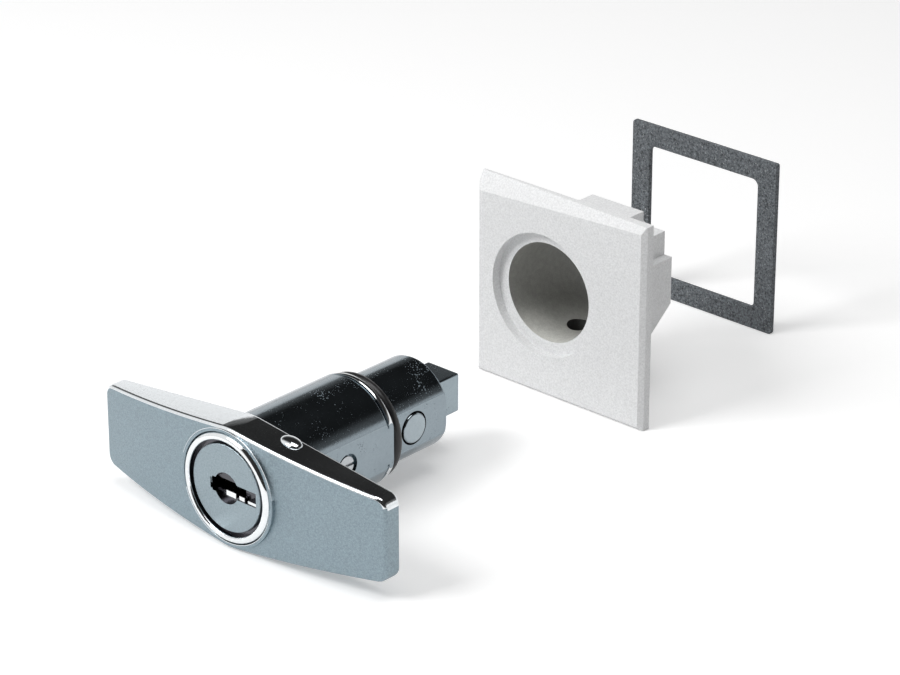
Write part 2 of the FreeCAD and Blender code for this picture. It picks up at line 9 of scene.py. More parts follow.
import bpy
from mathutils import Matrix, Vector


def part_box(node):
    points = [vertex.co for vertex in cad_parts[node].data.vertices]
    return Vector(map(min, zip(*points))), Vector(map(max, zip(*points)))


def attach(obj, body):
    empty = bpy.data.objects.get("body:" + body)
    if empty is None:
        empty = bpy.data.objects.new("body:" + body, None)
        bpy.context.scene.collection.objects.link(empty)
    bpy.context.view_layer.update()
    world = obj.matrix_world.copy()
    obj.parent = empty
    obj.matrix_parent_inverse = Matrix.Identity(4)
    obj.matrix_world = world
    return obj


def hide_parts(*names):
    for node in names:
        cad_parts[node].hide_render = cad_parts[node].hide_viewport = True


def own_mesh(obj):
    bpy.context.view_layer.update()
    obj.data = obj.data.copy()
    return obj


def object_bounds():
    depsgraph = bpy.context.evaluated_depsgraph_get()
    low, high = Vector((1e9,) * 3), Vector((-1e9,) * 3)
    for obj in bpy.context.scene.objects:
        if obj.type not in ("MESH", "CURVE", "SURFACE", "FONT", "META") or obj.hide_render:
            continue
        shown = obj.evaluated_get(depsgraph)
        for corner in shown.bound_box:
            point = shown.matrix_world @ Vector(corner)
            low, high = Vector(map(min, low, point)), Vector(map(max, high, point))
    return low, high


bl_info = {
    "name": "Cabinet lock model",
    "version": (1, 0, 0),
    "blender": (4, 5, 0),
    "location": "3D View > Sidebar > Lock",
    "description": "Builds a T-handle cabinet lock with its bezel and gasket",
    "category": "Object",
}

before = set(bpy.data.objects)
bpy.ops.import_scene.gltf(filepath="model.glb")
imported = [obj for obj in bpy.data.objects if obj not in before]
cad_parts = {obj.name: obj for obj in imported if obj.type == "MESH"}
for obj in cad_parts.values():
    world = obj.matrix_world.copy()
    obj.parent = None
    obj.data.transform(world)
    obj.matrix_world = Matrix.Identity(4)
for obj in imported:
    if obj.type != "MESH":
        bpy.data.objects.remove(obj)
CAD_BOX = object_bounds()

MM = 0.001
QUARTER = math.pi / 2

# Places taken from the frame, and the gap that the floor keeps below the pieces
FLAT_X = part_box("barrel_sleeve")[1].x / MM
STOP_Y = sum(corner.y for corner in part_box("stop_screw")) / 2 / MM
BUTTON_Y = sum(corner.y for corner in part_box("snap_button")) / 2 / MM
BARREL_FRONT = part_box("barrel_sleeve")[0].y / MM
NOSE_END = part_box("barrel_sleeve")[1].y / MM
FLOOR_Z = CAD_BOX[0][2] / MM
FLOOR_GAP = 0.02

# Grip and its tube
BOSS_RADIUS = 12.2
GRIP_BACK = 7.8
BOW_SAG = 3.75
BOW_FRONT = 0.25
TIP_ROUND = 2.0
TUBE_RADIUS = 9.2
TUBE_BORE = 8.0
TUBE_END = 32.9
RIM_SEAT_RADIUS = 10.98
LAND_RADIUS = 11.7
CROSS_PIN_Y = 31.05
CROSS_PIN_HOLE = 1.12
BOLT_START = 26.96
BOLT_HALF = 3.82
BOLT_SLOT_END = 29.21

# Cylinder: each rib of the keyway is its two X ends and its top
RIM_RADIUS = 10.95
RIM_MOUTH_RADIUS = 8.73
SHELL_BORE = 6.08
PLUG_RADIUS = 6.0
PLUG_HEAD_RADIUS = 8.65
KEY_HOLE_RADIUS = 3.1
WAFERS = 5
WAFER_FIRST = 4.2
WAFER_PITCH = 2.5
WAFER_SLOT_HALF = 2.52
KEYWAY_RIBS = ((-0.2, 2.3, -0.35), (3.1, 4.5, -0.5), (5.3, 7.5, -0.75))

# Barrel, button and spindle
BARREL_RADIUS = 11.2
NOSE_RADIUS = 9.2
NOSE_FLAT_X = 8.2
PLAIN_END = 33.6
SEAL_GROOVE = 2.4
SEAL_GROOVE_RADIUS = 8.55
POCKET_END = 29.32
POCKET_DEPTH = 10.92
POCKET_LIMIT = 10.85
STOP_RADIUS = 2.5
BUTTON_RADIUS = 3.05
BUTTON_HOLE_RADIUS = 3.38
BUTTON_FACE_X = 8.55
SPRING_STRIP = 0.2
SPRING_WIDTH = 1.8
SPRING_HALF = 1.4
SPRING_FOLDS = 4
SPINDLE_RADIUS = 4.5
SQUARE_HALF = 4.0
SQUARE_Y = (50.35, 58.5)
LUG_Y = 53.1

# Bezel housing and gasket
BORE_OFFSET = 4.2
BORE_RADIUS = 10.4
RECESS_RADIUS = 12.9
RECESS_DEPTH = 2.0
FLANGE_THICK = 2.6
SHANK_HALF = 14.0
SHANK_OFFSET = 2.2
SHANK_DEPTH = 11.0
TUBE_DEPTH = 24.0
BLOCK_DEPTH = 20.5
BLOCK_STEPS = ((12.1, 6.4), (6.6, 11.4))
CATCH_DEPTH = 11.9
CATCH_RADIUS = 2.7
WINDOW_HALF = 14.2
EDGE_SLOPE = 0.45
TOP_SLOPE_LEFT = 3.7
TOP_SLOPE_RIGHT = 1.4
TOP_SLOPE_DEPTH = 2.05

# Stage, in metres: a lamp is name, place, size and watts, a backdrop level is ray height and brightness
CAMERA_TARGET = (0.05489, 0.0, 0.04714)
LAMP_TARGET = (0.02, 0.04, 0.0)
LAMPS = (("key_lamp", (-0.25, -0.45, 0.55), 0.35, 3.9), ("top_lamp", (0.05, 0.05, 0.75), 0.5, 2.2))
FLOOR_GLOW = 0.30
ROOM_LIGHT = 0.20
BACKDROP_LEVELS = ((0.29, 1.0), (0.33, 0.16), (0.44, 0.14), (0.54, 0.02))
DARK_SIDE = (0.61, -0.67, 0.42)


# Modelling helpers


def focus(obj):
    """Select one object alone and make it active."""
    if bpy.context.object and bpy.context.object.mode != "OBJECT":
        bpy.ops.object.mode_set(mode="OBJECT")
    bpy.ops.object.select_all(action="DESELECT")
    obj.select_set(True)
    bpy.context.view_layer.objects.active = obj


def clear_selection():
    """Nothing is selected and no edit mode is open."""
    if bpy.context.object and bpy.context.object.mode != "OBJECT":
        bpy.ops.object.mode_set(mode="OBJECT")
    bpy.ops.object.select_all(action="DESELECT")


def settle(name):
    """Name the active object and put its place into its mesh."""
    obj = bpy.context.object
    obj.name = name
    obj.data.name = name
    bpy.ops.object.transform_apply(location=True, rotation=True, scale=True)
    return obj


def box(name, low, high):
    """A cuboid between two corners."""
    clear_selection()
    middle = [(a + b) / 2 * MM for a, b in zip(low, high)]
    size = [(b - a) * MM for a, b in zip(low, high)]
    bpy.ops.mesh.primitive_cube_add(size=1, location=middle, scale=size)
    return settle(name)


def rod(name, axis, radius, start, end, place=(0.0, 0.0, 0.0), sides=96):
    """A round bar along X, Y or Z; place gives the two other coordinates."""
    clear_selection()
    middle = [value * MM for value in place]
    middle["XYZ".index(axis)] = (start + end) / 2 * MM
    turn = {"X": (0, QUARTER, 0), "Y": (QUARTER, 0, 0), "Z": (0, 0, 0)}[axis]
    bpy.ops.mesh.primitive_cylinder_add(
        vertices=sides, radius=radius * MM, depth=(end - start) * MM, location=middle, rotation=turn)
    return settle(name)


def turned(name, stations, sides=160):
    """A solid of revolution about the Y axis, extruded ring by ring from (radius, y) stations."""
    clear_selection()
    radius, y = stations[0]
    bpy.ops.mesh.primitive_circle_add(
        vertices=sides, radius=radius * MM, fill_type="NGON", location=(0, y * MM, 0),
        rotation=(QUARTER, 0, 0))
    obj = settle(name)
    bpy.ops.object.mode_set(mode="EDIT")
    bpy.ops.mesh.select_all(action="SELECT")
    for next_radius, next_y in stations[1:]:
        bpy.ops.mesh.extrude_region_move(
            TRANSFORM_OT_translate={"value": (0, (next_y - y) * MM, 0)})
        ratio = next_radius / radius
        bpy.ops.transform.resize(value=(ratio, 1, ratio), center_override=(0, next_y * MM, 0))
        radius, y = next_radius, next_y
    tidy_mesh()
    bpy.ops.object.mode_set(mode="OBJECT")
    return obj


def tidy_mesh():
    """Merge doubles and point the normals outwards, in edit mode."""
    bpy.ops.mesh.select_all(action="SELECT")
    bpy.ops.mesh.remove_doubles(threshold=1e-7)
    bpy.ops.mesh.normals_make_consistent(inside=False)


def apply_modifier(obj, kind, **settings):
    """Add a modifier, set it and apply it."""
    focus(obj)
    bpy.ops.object.modifier_add(type=kind)
    modifier = obj.modifiers[-1]
    for key, value in settings.items():
        setattr(modifier, key, value)
    bpy.ops.object.modifier_apply(modifier=modifier.name)


def combine(obj, other, operation):
    """Boolean of obj with other, which is then removed."""
    apply_modifier(obj, "BOOLEAN", operation=operation, solver="EXACT", object=other)
    bpy.data.objects.remove(other)
    return obj


def cut(obj, *cutters):
    """Cut pieces away from obj."""
    for cutter in cutters:
        combine(obj, cutter, "DIFFERENCE")
    return obj


def fuse(obj, *others):
    """Join pieces to obj as one solid."""
    for other in others:
        combine(obj, other, "UNION")
    return obj


def bevel_chosen(obj, chosen, offset, segments):
    """Bevel the edges whose pairs of vertices are in a set."""
    if not chosen:
        raise RuntimeError("no edge of " + obj.name + " was found to bevel")
    focus(obj)
    bpy.ops.object.mode_set(mode="EDIT")
    bpy.ops.mesh.select_mode(type="EDGE")
    bpy.ops.mesh.select_all(action="DESELECT")
    bpy.ops.object.mode_set(mode="OBJECT")
    for edge in obj.data.edges:
        edge.select = edge.key in chosen
    bpy.ops.object.mode_set(mode="EDIT")
    bpy.ops.mesh.bevel(offset=offset * MM, segments=segments, profile=0.5, affect="EDGES",
                       clamp_overlap=False)
    bpy.ops.object.mode_set(mode="OBJECT")


def bevel_edges(obj, wanted, offset, segments):
    """Bevel the edges that a rule on their two ends picks out."""
    points = [vertex.co / MM for vertex in obj.data.vertices]
    chosen = {edge.key for edge in obj.data.edges if wanted(*(points[k] for k in edge.vertices))}
    bevel_chosen(obj, chosen, offset, segments)


def bevel_rim(obj, face_rule, edge_rule, offset, segments):
    """Bevel the edges between faces that follow a rule and faces that don't."""
    points = [vertex.co / MM for vertex in obj.data.vertices]
    sides = {}
    for face in obj.data.polygons:
        for key in face.edge_keys:
            sides.setdefault(key, []).append(face_rule(face.normal))
    chosen = {key for key, found in sides.items()
              if len(set(found)) == 2 and edge_rule((points[key[0]] + points[key[1]]) / 2)}
    bevel_chosen(obj, chosen, offset, segments)


def join(obj, *others):
    """Put other pieces into the same mesh."""
    focus(obj)
    for other in others:
        other.select_set(True)
    bpy.ops.object.join()


def bisect(obj, point, normal):
    """Cut off what lies beyond a plane and close the cut."""
    focus(obj)
    bpy.ops.object.mode_set(mode="EDIT")
    bpy.ops.mesh.select_all(action="SELECT")
    bpy.ops.mesh.bisect(plane_co=Vector(point) * MM, plane_no=Vector(normal).normalized(),
                        clear_outer=True, use_fill=True)
    bpy.ops.object.mode_set(mode="OBJECT")


def soften(obj, width, segments=2, angle=35.0):
    """Small rounded edges all over."""
    apply_modifier(obj, "BEVEL", width=width * MM, segments=segments, limit_method="ANGLE",
                   angle_limit=math.radians(angle), use_clamp_overlap=True)


def finish_piece(obj, body, slot, finish, *nodes, angle=32.0):
    """Smooth the piece, give it its finish and its body, and hide the CAD nodes that it stands for; the slot
    is not used.
    """
    focus(obj)
    bpy.ops.object.mode_set(mode="EDIT")
    tidy_mesh()
    bpy.ops.object.mode_set(mode="OBJECT")
    bpy.ops.object.shade_smooth_by_angle(angle=math.radians(angle))
    apply_modifier(obj, "WEIGHTED_NORMAL", keep_sharp=True, weight=80)
    obj.data.materials.clear()
    obj.data.materials.append(FINISHES[finish]())
    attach(obj, body)
    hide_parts(*nodes)


# Finishes


def group_tree(name, inputs, outputs):
    """A shader node group with named sockets."""
    tree = bpy.data.node_groups.new(name, "ShaderNodeTree")
    for label, value, low, high in inputs:
        socket = tree.interface.new_socket(label, in_out="INPUT", socket_type="NodeSocketFloat")
        socket.default_value = value
        socket.min_value = low
        socket.max_value = high
    for label in outputs:
        tree.interface.new_socket(label, in_out="OUTPUT", socket_type="NodeSocketFloat")
    return tree


def linked(tree, kind, links=(), **settings):
    """A node with its settings and incoming links."""
    node = tree.nodes.new(kind)
    for key, value in settings.items():
        setattr(node, key, value)
    for index, source in links:
        if hasattr(source, "is_output"):
            tree.links.new(source, node.inputs[index])
        else:
            node.inputs[index].default_value = source
    return node


def grain_group():
    """Fine grain: a height and a slow tone that vary over the surface."""
    if "Surface grain" in bpy.data.node_groups:
        return bpy.data.node_groups["Surface grain"]
    tree = group_tree(
        "Surface grain",
        [("Grain size", 4000.0, 1.0, 100000.0), ("Cloud size", 120.0, 1.0, 10000.0),
         ("Low", 0.0, -10.0, 10.0), ("High", 1.0, -10.0, 10.0)],
        ["Height", "Level"])
    source = linked(tree, "NodeGroupInput")
    sink = linked(tree, "NodeGroupOutput")
    place = linked(tree, "ShaderNodeTexCoord").outputs["Object"]
    fine = linked(tree, "ShaderNodeTexNoise", [
        ("Vector", place), ("Scale", source.outputs["Grain size"]), ("Detail", 3.0), ("Roughness", 0.6)])
    cloud = linked(tree, "ShaderNodeTexNoise", [
        ("Vector", place), ("Scale", source.outputs["Cloud size"]), ("Detail", 4.0), ("Roughness", 0.55)])
    mixed = linked(tree, "ShaderNodeMath", [(0, fine.outputs["Fac"]), (1, cloud.outputs["Fac"])],
                   operation="ADD")
    level = linked(tree, "ShaderNodeMapRange", [
        ("Value", mixed.outputs[0]), ("From Min", 0.75), ("From Max", 1.25),
        ("To Min", source.outputs["Low"]), ("To Max", source.outputs["High"])])
    tree.links.new(fine.outputs["Fac"], sink.inputs["Height"])
    tree.links.new(level.outputs["Result"], sink.inputs["Level"])
    return tree


def speck_group():
    """Scattered specks: 1 in a speck and 0 between, gathered in patches."""
    if "Specks" in bpy.data.node_groups:
        return bpy.data.node_groups["Specks"]
    tree = group_tree(
        "Specks",
        [("Speck size", 1500.0, 1.0, 100000.0), ("Patch size", 90.0, 1.0, 10000.0),
         ("Amount", 0.3, 0.0, 1.0)],
        ["Speck"])
    source = linked(tree, "NodeGroupInput")
    sink = linked(tree, "NodeGroupOutput")
    place = linked(tree, "ShaderNodeTexCoord").outputs["Object"]
    dots = linked(tree, "ShaderNodeTexVoronoi", [
        ("Vector", place), ("Scale", source.outputs["Speck size"]), ("Randomness", 1.0)])
    patch = linked(tree, "ShaderNodeTexNoise", [
        ("Vector", place), ("Scale", source.outputs["Patch size"]), ("Detail", 5.0), ("Roughness", 0.7)])
    crowd = linked(tree, "ShaderNodeMapRange", [
        ("Value", patch.outputs["Fac"]), ("From Min", 0.44), ("From Max", 0.70)])
    gate = linked(tree, "ShaderNodeMath", [(0, crowd.outputs["Result"]), (1, source.outputs["Amount"])],
                  operation="MULTIPLY")
    near = linked(tree, "ShaderNodeMath", [(0, gate.outputs[0]), (1, dots.outputs["Distance"])],
                  operation="SUBTRACT")
    speck = linked(tree, "ShaderNodeMapRange", [
        ("Value", near.outputs[0]), ("From Min", -0.02), ("From Max", 0.06)])
    tree.links.new(speck.outputs["Result"], sink.inputs["Speck"])
    return tree


def new_material(name):
    """A material with a Principled shader and nothing else."""
    material = bpy.data.materials.new(name)
    material.use_nodes = True
    return material, material.node_tree, material.node_tree.nodes["Principled BSDF"]


def add_grain(tree, shader, grain, cloud, roughness, depth):
    """Roughness and a fine bump from the grain group."""
    low, high = roughness
    noise = linked(tree, "ShaderNodeGroup", node_tree=grain_group())
    noise.inputs["Grain size"].default_value = grain
    noise.inputs["Cloud size"].default_value = cloud
    noise.inputs["Low"].default_value = low
    noise.inputs["High"].default_value = high
    tree.links.new(noise.outputs["Level"], shader.inputs["Roughness"])
    bump = linked(tree, "ShaderNodeBump", [("Height", noise.outputs["Height"]), ("Strength", depth),
                                           ("Distance", 0.0001)])
    tree.links.new(bump.outputs["Normal"], shader.inputs["Normal"])
    return noise


def tinted(tree, colour, grain, cloud, tone):
    """A colour that drifts by a share of itself over the surface; a name stands for a colour setting."""
    if isinstance(colour, str):
        colour = tuple(getattr(bpy.context.scene.lock_colours, colour))
    shade = linked(tree, "ShaderNodeGroup", node_tree=grain_group())
    shade.inputs["Grain size"].default_value = grain
    shade.inputs["Cloud size"].default_value = cloud
    shade.inputs["Low"].default_value = 1.0 - tone
    shade.inputs["High"].default_value = 1.0 + tone
    return linked(tree, "ShaderNodeVectorMath", [(0, colour), ("Scale", shade.outputs["Level"])],
                  operation="SCALE")


def metal(name, colour, roughness, grain=5000.0, cloud=150.0, depth=0.15, specks=None, tone=0.05):
    """A metal finish with grain, a slight drift of tone and, if asked, dull specks that catch the light."""

    def build():
        if name in bpy.data.materials:
            return bpy.data.materials[name]
        material, tree, shader = new_material(name)
        shader.inputs["Metallic"].default_value = 1.0
        noise = add_grain(tree, shader, grain, cloud, roughness, depth)
        tint = tinted(tree, colour, grain * 0.7, cloud, tone)
        tree.links.new(tint.outputs[0], shader.inputs["Base Color"])
        if specks:
            size, patch, amount, strength = specks
            dots = linked(tree, "ShaderNodeGroup", node_tree=speck_group())
            dots.inputs["Speck size"].default_value = size
            dots.inputs["Patch size"].default_value = patch
            dots.inputs["Amount"].default_value = amount
            dull = linked(tree, "ShaderNodeMath", [(0, dots.outputs["Speck"]), (1, strength)],
                          operation="MULTIPLY")
            rough = linked(tree, "ShaderNodeMath", [
                (0, dull.outputs[0]), (1, noise.outputs["Level"])], operation="MAXIMUM")
            tree.links.new(rough.outputs[0], shader.inputs["Roughness"])
        return material

    return build


def plain(name, colour, roughness, grain=3000.0, cloud=200.0, depth=0.2, tone=0.15, specks=None):
    """A plastic, foam or rubber finish whose colour drifts a little."""

    def build():
        if name in bpy.data.materials:
            return bpy.data.materials[name]
        material, tree, shader = new_material(name)
        add_grain(tree, shader, grain, cloud, roughness, depth)
        tint = tinted(tree, colour, grain * 0.6, cloud, tone)
        if specks:
            size, patch, amount, light = specks
            dots = linked(tree, "ShaderNodeGroup", node_tree=speck_group())
            dots.inputs["Speck size"].default_value = size
            dots.inputs["Patch size"].default_value = patch
            dots.inputs["Amount"].default_value = amount
            spots = linked(tree, "ShaderNodeVectorMath", [
                (0, (light, light, light)), ("Scale", dots.outputs["Speck"])], operation="SCALE")
            tint = linked(tree, "ShaderNodeVectorMath", [
                (0, tint.outputs[0]), (1, spots.outputs[0])], operation="ADD")
        tree.links.new(tint.outputs[0], shader.inputs["Base Color"])
        return material

    return build


def painted_bore_shade():
    """Painted shade on the wall of the bezel's bore: grey where the moulding is white, with painted light
    making it paler at the bottom of its mouth.
    """
    name = "Bore wall"
    if name in bpy.data.materials:
        return bpy.data.materials[name]
    low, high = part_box("bezel_housing")
    middle = (low.z + high.z) / 2
    material, tree, shader = new_material(name)
    add_grain(tree, shader, 3600.0, 130.0, (0.46, 0.60), 0.22)
    # Painted shade: the wall is coloured grey instead of the white of the moulding
    tint = tinted(tree, (0.33, 0.33, 0.31), 3600.0, 900.0, 0.12)
    place = linked(tree, "ShaderNodeTexCoord").outputs["Object"]
    parts = linked(tree, "ShaderNodeSeparateXYZ", [(0, place)])
    # Painted light: paler towards the bottom of the bore near its mouth
    down = linked(tree, "ShaderNodeMapRange", [
        ("Value", parts.outputs["Z"]), ("From Min", middle - 5.5 * MM),
        ("From Max", middle - BORE_RADIUS * MM)])
    near = linked(tree, "ShaderNodeMapRange", [
        ("Value", parts.outputs["Y"]), ("From Min", low.y + 10 * MM),
        ("From Max", low.y + RECESS_DEPTH * MM), ("To Max", 1.4)])
    painted_mouth_light = linked(tree, "ShaderNodeMath", [(0, down.outputs[0]), (1, near.outputs[0])], operation="MULTIPLY")
    gain = linked(tree, "ShaderNodeMath", [(0, painted_mouth_light.outputs[0]), (1, 1.0)], operation="ADD")
    light = linked(tree, "ShaderNodeVectorMath", [
        (0, tint.outputs[0]), ("Scale", gain.outputs[0])], operation="SCALE")
    tree.links.new(light.outputs[0], shader.inputs["Base Color"])
    return material


# Each finish gives its name, colour or colour setting, roughness, grain size, cloud size and bump depth
FINISHES = {
    "satin": metal("Satin chrome", "grip_colour", (0.28, 0.46), 8000.0, 2600.0, 0.90, tone=0.20),
    "polished": metal("Polished chrome", (0.80, 0.82, 0.83), (0.03, 0.08), 2500.0, 90.0, 0.05),
    "polished_edge": metal("Polished edge", (0.80, 0.83, 0.85), (0.06, 0.14), 2600.0, 90.0, 0.08),
    "face": metal("Satin plug", (0.31, 0.375, 0.41), (0.30, 0.42), 8000.0, 2600.0, 0.80, tone=0.18),
    "barrel": metal("Barrel chrome", "barrel_colour", (0.10, 0.18), 2600.0, 120.0, 0.06,
                    (2300.0, 190.0, 0.40, 0.85)),
    "square": metal("Square chrome", (0.27, 0.32, 0.35), (0.10, 0.18), 2600.0, 140.0, 0.06,
                    (2500.0, 190.0, 0.36, 0.80)),
    "button": metal("Button chrome", (0.33, 0.38, 0.41), (0.12, 0.22), 2600.0, 160.0, 0.12),
    "screw": metal("Plated steel", (0.45, 0.47, 0.49), (0.16, 0.30), 3000.0, 200.0, 0.2),
    "spring": metal("Spring steel", (0.40, 0.41, 0.42), (0.2, 0.32), 3000.0, 200.0, 0.2),
    "zinc": metal("Plain zinc", (0.52, 0.54, 0.55), (0.32, 0.45), 2500.0, 180.0, 0.25),
    "brass": metal("Stamped brass", (0.72, 0.58, 0.32), (0.18, 0.3), 3000.0, 200.0, 0.2),
    "rubber": plain("Black rubber", (0.012, 0.012, 0.013), (0.28, 0.42), 2500.0, 150.0, 0.15),
    "plastic": plain("White moulding", "housing_colour", (0.46, 0.60), 5200.0, 2600.0, 0.55, 0.10),
    "foam": plain("Grey foam", "gasket_colour", (0.75, 0.92), 4200.0, 2200.0, 0.7, 0.70,
                  (3000.0, 1500.0, 0.50, 0.30)),
    # bore: painted shade and painted light on the wall of the bezel's bore
    "bore": painted_bore_shade,
    # shade: painted shade, the catch hole in the white moulding coloured near black
    "shade": plain("Catch hole", (0.07, 0.07, 0.068), (0.46, 0.60), 3600.0, 130.0, 0.22, 0.10),
    # Painted shade: a near-black metal that stands in for the shade inside hollows
    "keyway": metal("Keyway", (0.10, 0.10, 0.11), (0.16, 0.26), 3000.0, 200.0, 0.1),
}


# Settings


class LockSizes(bpy.types.PropertyGroup):
    """Sizes that a user would change."""

    grip_length: bpy.props.FloatProperty(
        name="Grip length", description="Length of the T-handle from tip to tip",
        default=0.072, min=0.05, max=0.12, subtype="DISTANCE", unit="LENGTH")
    tip_half: bpy.props.FloatProperty(
        name="Tip half height", description="Half the height of the grip at its tips",
        default=0.0082, min=0.004, max=0.012, subtype="DISTANCE", unit="LENGTH")
    edge_round: bpy.props.FloatProperty(
        name="Front edge round", description="Rounding of the front edges of the grip",
        default=0.0007, min=0.0005, max=0.0012, subtype="DISTANCE", unit="LENGTH")


class LockColours(bpy.types.PropertyGroup):
    """Colours that a user would change."""

    grip_colour: bpy.props.FloatVectorProperty(
        name="Grip", description="Tint of the satin chrome on the grip",
        default=(0.275, 0.345, 0.385), min=0.0, max=1.0, subtype="COLOR")
    barrel_colour: bpy.props.FloatVectorProperty(
        name="Barrel", description="Tint of the bright chrome on the barrel",
        default=(0.25, 0.295, 0.325), min=0.0, max=1.0, subtype="COLOR")
    housing_colour: bpy.props.FloatVectorProperty(
        name="Bezel housing", description="Colour of the plastic of the bezel housing",
        default=(0.82, 0.825, 0.83), min=0.0, max=1.0, subtype="COLOR")
    gasket_colour: bpy.props.FloatVectorProperty(
        name="Gasket", description="Colour of the foam of the gasket",
        default=(0.120, 0.132, 0.143), min=0.0, max=1.0, subtype="COLOR")


class StageSettings(bpy.types.PropertyGroup):
    """View and light."""

    azimuth: bpy.props.FloatProperty(
        name="Azimuth", description="Direction of the camera round the lock",
        default=math.radians(42.33), subtype="ANGLE", unit="ROTATION")
    elevation: bpy.props.FloatProperty(
        name="Elevation", description="Height of the camera above the level",
        default=math.radians(24.71), subtype="ANGLE", unit="ROTATION")
    distance: bpy.props.FloatProperty(
        name="Distance", description="From the camera to the point that it looks at",
        default=0.61766, subtype="DISTANCE", unit="LENGTH")
    lens: bpy.props.FloatProperty(
        name="Lens", description="Focal length on a 36 mm sensor, in millimetres",
        default=148.0, min=10.0, max=400.0, unit="CAMERA")


# Pieces


def tangent(half, tip, radius):
    """Where a line from the tip touches the boss circle."""
    bearing = math.atan2(tip, half) + math.acos(radius / math.hypot(half, tip))
    return radius * math.cos(bearing), radius * math.sin(bearing)


class LOCK_OT_grip(bpy.types.Operator):
    """Build the bowed grip with its hollow tube"""

    bl_idname = "lock.grip"
    bl_label = "Grip"

    def execute(self, context):
        sizes = context.scene.lock_sizes
        half = sizes.grip_length / 2 / MM
        tip = sizes.tip_half / MM
        tx, tz = tangent(half, tip, BOSS_RADIUS)
        apex = tz + tx * (tz - tip) / (half - tx)
        grip = box("grip", (-half, -1.0, -apex - 1), (half, GRIP_BACK, apex + 1))
        for side in (-1, 1):
            for up in (-1, 1):
                bisect(grip, (side * tx, 0, up * tz), (side * tx, 0, up * tz))
        bevel_edges(grip, lambda a, b: abs(a.x) < 0.01 and abs(b.x) < 0.01 and abs(a.y - b.y) > 1,
                    math.hypot(tx, apex - tz), 40)
        bevel_edges(grip, lambda a, b: abs(a.x) > half - 0.01 and abs(b.x) > half - 0.01
                    and abs(a.y - b.y) > 1, TIP_ROUND, 6)
        bow = (half * half + BOW_SAG * BOW_SAG) / (2 * BOW_SAG)
        combine(grip, rod("bow", "Z", bow, -20, 20, (0, BOW_FRONT + bow, 0), 360), "INTERSECT")
        fuse(grip, rod("tube", "Y", TUBE_RADIUS, 6.0, TUBE_END, sides=128))
        cut(grip,
            rod("mouth", "Y", RIM_SEAT_RADIUS, -2.0, 1.78, sides=128),
            rod("bore", "Y", TUBE_BORE, -2.0, 29.2, sides=96),
            rod("neck_hole", "Y", 3.92, 28.0, 34.0, sides=64),
            rod("pin_hole", "X", CROSS_PIN_HOLE, -11, 11, (0, CROSS_PIN_Y, 0), 32),
            rod("grub_hole", "Z", 1.52, -14, -7, (0, 5.0, 0), 32),
            box("bolt_slot", (-10, BOLT_START, -BOLT_HALF), (-1, BOLT_SLOT_END, BOLT_HALF)))
        bevel_rim(grip, lambda normal: normal.y < -0.9, lambda p: p.y < 4.1 and math.hypot(p.x, p.z) > 11.5,
                  sizes.edge_round / MM, 6)
        bevel_rim(grip, lambda normal: normal.y > 0.9, lambda p: abs(p.y - GRIP_BACK) < 0.01
                  and math.hypot(p.x, p.z) > 10.5 or abs(p.x) > 14, 0.7, 3)
        land = rod("land", "Y", LAND_RADIUS, 0.0, 1.9, sides=160)
        cut(land, rod("mouth", "Y", RIM_SEAT_RADIUS, -2.0, 3.0, sides=128))
        bevel_rim(land, lambda normal: normal.y < -0.9, lambda p: p.y < 0.01, 0.12, 2)
        join(grip, land, rear_nub())
        finish_piece(grip, "handle", "satin_chrome", "satin", "t_handle", angle=40.0)
        polish_edges(grip)
        return {"FINISHED"}


def rear_nub():
    """Low smooth lump on the top of the grip, towards its rear edge and right of the boss."""
    clear_selection()
    bpy.ops.mesh.primitive_uv_sphere_add(
        segments=48, ring_count=24, radius=MM, location=(0.0113, (GRIP_BACK - 2.1) * MM, 0.01095),
        scale=(2.5, 1.7, 0.85), rotation=(0, math.radians(6.5), math.radians(-8)))
    return settle("nub")


def polish_edges(grip):
    """The top and the upper edges of the grip are polished; the front and the sides stay satin."""
    grip.data.materials.append(FINISHES["polished_edge"]())
    for face in grip.data.polygons:
        middle = face.center / MM
        front = face.normal.y < -0.93
        if middle.y < GRIP_BACK + 0.2 and not front and face.normal.z > 0.12 and middle.length > 11.0:
            face.material_index = 1


class LOCK_OT_rim(bpy.types.Operator):
    """Build the cylinder shell with its polished rim"""

    bl_idname = "lock.rim"
    bl_label = "Cylinder rim"

    def execute(self, context):
        rim = turned("cylinder_rim", [
            (9.75, -0.44), (9.95, -0.45), (10.2, -0.40), (10.42, -0.29), (10.62, -0.12), (10.78, 0.12),
            (10.88, 0.4), (10.93, 0.7), (RIM_RADIUS, 1.0), (RIM_RADIUS, 1.75), (7.9, 1.75), (7.9, 23.6)])
        mouth = turned("mouth", [
            (9.9, -0.8), (9.75, -0.44), (9.6, -0.36), (9.5, -0.22), (9.45, 0.0), (9.45, 1.0),
            (RIM_MOUTH_RADIUS, 1.0), (RIM_MOUTH_RADIUS, 1.48)])
        cut(rim, mouth, rod("bore", "Y", SHELL_BORE, 0.5, 25.0, sides=96),
            box("groove_x", (0, 3.6, -WAFER_SLOT_HALF), (7.0, 15.8, WAFER_SLOT_HALF)),
            box("groove_z", (-WAFER_SLOT_HALF, 3.6, -7.0), (WAFER_SLOT_HALF, 15.8, 7.0)))
        finish_piece(rim, "handle", "polished_chrome", "polished", "cylinder_shell", angle=28.0)
        # Painted shade: the inner faces of the shell, behind its rim, are coloured near black
        rim.data.materials.append(FINISHES["keyway"]())
        for face in rim.data.polygons:
            middle = face.center / MM
            if middle.y > 0.0 and math.hypot(middle.x, middle.z) < 9.5:
                face.material_index = 1
        return {"FINISHED"}


